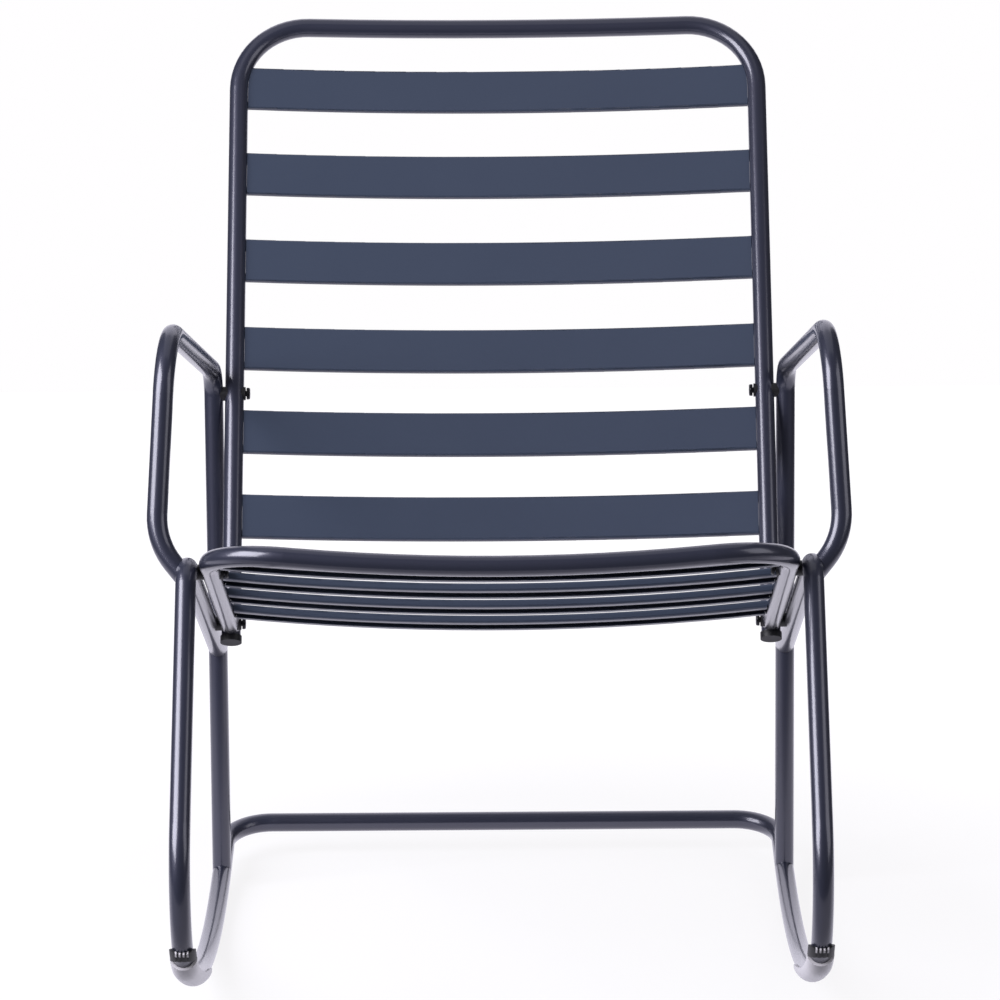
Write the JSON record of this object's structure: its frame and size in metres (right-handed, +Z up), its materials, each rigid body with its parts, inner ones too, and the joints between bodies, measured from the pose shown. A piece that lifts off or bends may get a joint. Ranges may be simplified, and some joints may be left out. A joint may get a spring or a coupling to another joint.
{
  "type": "garden rocking chair",
  "caption": "Metal garden rocking chair: bent round-tube frame on curved runners, loop arms, and bowed flat slats across the seat and the reclined back.",
  "frame": {"origin": "middle of the chair's footprint, on the floor", "axes": "+Z up, the chair's front faces -Y, +X is to the right as seen from the front"},
  "size_m": [0.6792, 0.9315, 0.8948],
  "materials": {
    "coated_tube": "slate-navy powder coat, semi-gloss",
    "coated_slat": "slate-navy powder coat, satin",
    "black_fastener": "black oxide",
    "black_plastic": "moulded, matt",
    "grey_plastic": "milky moulded plastic",
    "bare_steel": "plain steel, hidden"
  },
  "bodies": {
    "root": {"back_frame": "coated_tube", "seat_frame": "coated_tube", "right_rocker": "coated_tube", "left_rocker": "coated_tube", "right_arm": "coated_tube", "left_arm": "coated_tube", "crossbar": "coated_tube", "back_slat_1": "coated_slat", "back_slat_2": "coated_slat", "back_slat_3": "coated_slat", "back_slat_4": "coated_slat", "back_slat_5": "coated_slat", "back_slat_6": "coated_slat", "seat_slat_1": "coated_slat", "seat_slat_2": "coated_slat", "seat_slat_3": "coated_slat", "seat_slat_4": "coated_slat", "arm_bolts": "black_fastener", "seat_bolts": "black_fastener", "threaded_inserts": "bare_steel", "arm_spacers": "black_plastic", "seat_spacers": "black_plastic", "saddle_washers": "black_plastic", "right_end_cap": "black_plastic", "left_end_cap": "black_plastic", "right_front_stop": "black_plastic", "left_front_stop": "black_plastic", "right_glide": "grey_plastic", "left_glide": "grey_plastic", "joint_sleeves": "bare_steel"}
  },
  "joints": []
}
